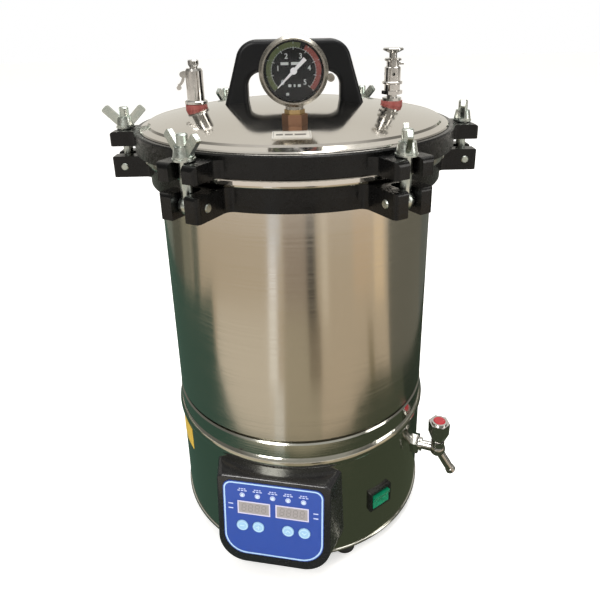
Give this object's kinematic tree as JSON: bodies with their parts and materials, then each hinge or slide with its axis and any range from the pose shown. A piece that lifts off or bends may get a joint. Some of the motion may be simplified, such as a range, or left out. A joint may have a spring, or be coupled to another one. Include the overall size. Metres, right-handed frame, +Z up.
{
  "type": "benchtop autoclave",
  "caption": "Electric benchtop steam autoclave: clamped lid with pressure gauge, valves and handle, steel vessel, base with control panel, rocker switch and drain valve.",
  "frame": {"origin": "where the vessel's vertical axis meets the benchtop, under the rubber feet", "axes": "+Z up along the vessel axis, -Y towards the front with the control panel, +X to the right seen from the front"},
  "size_m": [0.406, 0.3655, 0.5712],
  "materials": {
    "stainless_body": "brushed horizontally",
    "stainless_base": "brushed, polished bead",
    "stainless_plain": "satin",
    "mirror_lid": "polished",
    "black_enamel": "gloss enamel on casting",
    "zinc": "bright zinc plate",
    "rubber_black": "matt",
    "heater_steel": "drawn tube",
    "chrome": "polished",
    "cap_red": "gloss",
    "housing_black": "gloss",
    "panel_blue": "printed film",
    "display_grey": "clear window over grey display",
    "led_clear": "diffused",
    "board_green": "solder mask",
    "switch_black": "gloss",
    "switch_green": "translucent gloss",
    "button_blue": "soft gloss",
    "silicone_white": "matt",
    "bakelite": "semi gloss",
    "dial_black": "matt",
    "gauge_glass": "clear",
    "pointer_white": "matt",
    "brass": "turned",
    "gasket_red": "matt"
  },
  "bodies": {
    "vessel": {"base_shell": "stainless_base", "base_plate": "stainless_plain", "rubber_feet": "rubber_black", "body_jacket": "stainless_body", "chamber_vessel": "stainless_plain", "rim_band": "mirror_lid", "flange_ring": "black_enamel", "hinge_pins": "zinc", "heating_element": "heater_steel", "sieve_plate": "stainless_plain", "basket": "stainless_plain", "drain_valve": "chrome", "control_housing": "housing_black", "control_panel": "panel_blue", "display_windows": "display_grey", "indicator_leds": "led_clear", "control_board": "board_green", "rocker_bezel": "switch_black", "power_inlet": "switch_black"},
    "lid": {"lid_plate": "mirror_lid", "lid_ring": "black_enamel", "lid_gasket": "silicone_white", "handle": "bakelite", "handle_screws": "zinc", "gauge_case": "chrome", "gauge_dial": "dial_black", "gauge_glass": "gauge_glass", "gauge_fitting": "brass", "valve_gaskets": "gasket_red", "release_valve": "chrome", "safety_valve": "chrome", "safety_spring": "zinc"},
    "drain_knob": {"drain_knob": "chrome", "drain_knob_cap": "cap_red"},
    "rocker": {"rocker": "switch_green"},
    "gauge_pointer": {"gauge_pointer": "pointer_white"},
    "release_lever": {"release_lever": "chrome"},
    "safety_stem": {"safety_stem": "chrome"},
    "button_1": {"button_1": "button_blue"},
    "button_2": {"button_2": "button_blue"},
    "button_3": {"button_3": "button_blue"},
    "button_4": {"button_4": "button_blue"},
    "swing_bolt_1": {"swing_bolt_1": "zinc"},
    "washer_1": {"washer_1": "zinc"},
    "wing_nut_1": {"wing_nut_1": "zinc"},
    "swing_bolt_2": {"swing_bolt_2": "zinc"},
    "washer_2": {"washer_2": "zinc"},
    "wing_nut_2": {"wing_nut_2": "zinc"},
    "swing_bolt_3": {"swing_bolt_3": "zinc"},
    "washer_3": {"washer_3": "zinc"},
    "wing_nut_3": {"wing_nut_3": "zinc"},
    "swing_bolt_4": {"swing_bolt_4": "zinc"},
    "washer_4": {"washer_4": "zinc"},
    "wing_nut_4": {"wing_nut_4": "zinc"},
    "swing_bolt_5": {"swing_bolt_5": "zinc"},
    "washer_5": {"washer_5": "zinc"},
    "wing_nut_5": {"wing_nut_5": "zinc"},
    "swing_bolt_6": {"swing_bolt_6": "zinc"},
    "washer_6": {"washer_6": "zinc"},
    "wing_nut_6": {"wing_nut_6": "zinc"}
  },
  "joints": [
    {"name": "lid_lift", "type": "slide", "parent": "vessel", "child": "lid", "axis": [0, 0, 1], "range_m": [0, 0.3]},
    {"name": "button_1_press", "type": "slide", "parent": "vessel", "child": "button_1", "axis": [0.1967, 0.9756, -0.0976], "range_m": [0, 0.0008], "stiffness_N_per_m": 600, "springref_m": -0.0006},
    {"name": "button_2_press", "type": "slide", "parent": "vessel", "child": "button_2", "axis": [0.1967, 0.9756, -0.0976], "range_m": [0, 0.0008], "stiffness_N_per_m": 600, "springref_m": -0.0006},
    {"name": "button_3_press", "type": "slide", "parent": "vessel", "child": "button_3", "axis": [0.1967, 0.9756, -0.0976], "range_m": [0, 0.0008], "stiffness_N_per_m": 600, "springref_m": -0.0006},
    {"name": "button_4_press", "type": "slide", "parent": "vessel", "child": "button_4", "axis": [0.1967, 0.9756, -0.0976], "range_m": [0, 0.0008], "stiffness_N_per_m": 600, "springref_m": -0.0006},
    {"name": "rocker_tip", "type": "hinge", "parent": "vessel", "child": "rocker", "pos_m": [0.08439, -0.1228, 0.071], "axis": [-0.8241, -0.5664, 0], "range_deg": [0, 16]},
    {"name": "drain_knob_turn", "type": "hinge", "parent": "vessel", "child": "drain_knob", "pos_m": [0.16597, -0.06706, 0.11], "axis": [0, 0, 1], "range_deg": [0, 360]},
    {"name": "release_lever_flip", "type": "hinge", "parent": "lid", "child": "release_lever", "pos_m": [-0.1175, 0, 0.53068], "axis": [0, 1, 0], "range_deg": [0, 90]},
    {"name": "safety_stem_lift", "type": "slide", "parent": "lid", "child": "safety_stem", "axis": [0, 0, 1], "range_m": [0, 0.003], "stiffness_N_per_m": 1500, "springref_m": -0.003, "deforming": ["safety_spring"]},
    {"name": "gauge_pointer_turn", "type": "hinge", "parent": "lid", "child": "gauge_pointer", "pos_m": [0, -0.095, 0.541], "axis": [0, 1, 0], "range_deg": [0, 270], "stiffness_Nm_per_rad": 0.002, "springref_deg": -11.46},
    {"name": "bolt_1_swing", "type": "hinge", "parent": "vessel", "child": "swing_bolt_1", "pos_m": [0.185, 0, 0.4365], "axis": [0, 1, 0], "range_deg": [0, 180]},
    {"name": "washer_1_rise", "type": "slide", "parent": "swing_bolt_1", "child": "washer_1", "axis": [0, 0, 1], "range_m": [0, 0.0106]},
    {"name": "nut_1_spin", "type": "hinge", "parent": "washer_1", "child": "wing_nut_1", "pos_m": [0.185, 0, 0.48], "axis": [0, 0, 1], "range_deg": [0, 2520]},
    {"name": "bolt_2_swing", "type": "hinge", "parent": "vessel", "child": "swing_bolt_2", "pos_m": [0.0925, 0.16021, 0.4365], "axis": [-0.866, 0.5, 0], "range_deg": [0, 180]},
    {"name": "washer_2_rise", "type": "slide", "parent": "swing_bolt_2", "child": "washer_2", "axis": [0, 0, 1], "range_m": [0, 0.0106]},
    {"name": "nut_2_spin", "type": "hinge", "parent": "washer_2", "child": "wing_nut_2", "pos_m": [0.0925, 0.16021, 0.48], "axis": [0, 0, 1], "range_deg": [0, 2520]},
    {"name": "bolt_3_swing", "type": "hinge", "parent": "vessel", "child": "swing_bolt_3", "pos_m": [-0.0925, 0.16021, 0.4365], "axis": [-0.866, -0.5, 0], "range_deg": [0, 180]},
    {"name": "washer_3_rise", "type": "slide", "parent": "swing_bolt_3", "child": "washer_3", "axis": [0, 0, 1], "range_m": [0, 0.0106]},
    {"name": "nut_3_spin", "type": "hinge", "parent": "washer_3", "child": "wing_nut_3", "pos_m": [-0.0925, 0.16021, 0.48], "axis": [0, 0, 1], "range_deg": [0, 2520]},
    {"name": "bolt_4_swing", "type": "hinge", "parent": "vessel", "child": "swing_bolt_4", "pos_m": [-0.185, 0, 0.4365], "axis": [0, -1, 0], "range_deg": [0, 180]},
    {"name": "washer_4_rise", "type": "slide", "parent": "swing_bolt_4", "child": "washer_4", "axis": [0, 0, 1], "range_m": [0, 0.0106]},
    {"name": "nut_4_spin", "type": "hinge", "parent": "washer_4", "child": "wing_nut_4", "pos_m": [-0.185, 0, 0.48], "axis": [0, 0, 1], "range_deg": [0, 2520]},
    {"name": "bolt_5_swing", "type": "hinge", "parent": "vessel", "child": "swing_bolt_5", "pos_m": [-0.0925, -0.16021, 0.4365], "axis": [0.866, -0.5, 0], "range_deg": [0, 180]},
    {"name": "washer_5_rise", "type": "slide", "parent": "swing_bolt_5", "child": "washer_5", "axis": [0, 0, 1], "range_m": [0, 0.0106]},
    {"name": "nut_5_spin", "type": "hinge", "parent": "washer_5", "child": "wing_nut_5", "pos_m": [-0.0925, -0.16021, 0.48], "axis": [0, 0, 1], "range_deg": [0, 2520]},
    {"name": "bolt_6_swing", "type": "hinge", "parent": "vessel", "child": "swing_bolt_6", "pos_m": [0.0925, -0.16021, 0.4365], "axis": [0.866, 0.5, 0], "range_deg": [0, 180]},
    {"name": "washer_6_rise", "type": "slide", "parent": "swing_bolt_6", "child": "washer_6", "axis": [0, 0, 1], "range_m": [0, 0.0106]},
    {"name": "nut_6_spin", "type": "hinge", "parent": "washer_6", "child": "wing_nut_6", "pos_m": [0.0925, -0.16021, 0.48], "axis": [0, 0, 1], "range_deg": [0, 2520]}
  ],
  "couplings": [
    {"joint": "washer_1_rise", "follows": "nut_1_spin", "m_per_rad": 0.00023873},
    {"joint": "washer_2_rise", "follows": "nut_2_spin", "m_per_rad": 0.00023873},
    {"joint": "washer_3_rise", "follows": "nut_3_spin", "m_per_rad": 0.00023873},
    {"joint": "washer_4_rise", "follows": "nut_4_spin", "m_per_rad": 0.00023873},
    {"joint": "washer_5_rise", "follows": "nut_5_spin", "m_per_rad": 0.00023873},
    {"joint": "washer_6_rise", "follows": "nut_6_spin", "m_per_rad": 0.00023873}
  ]
}
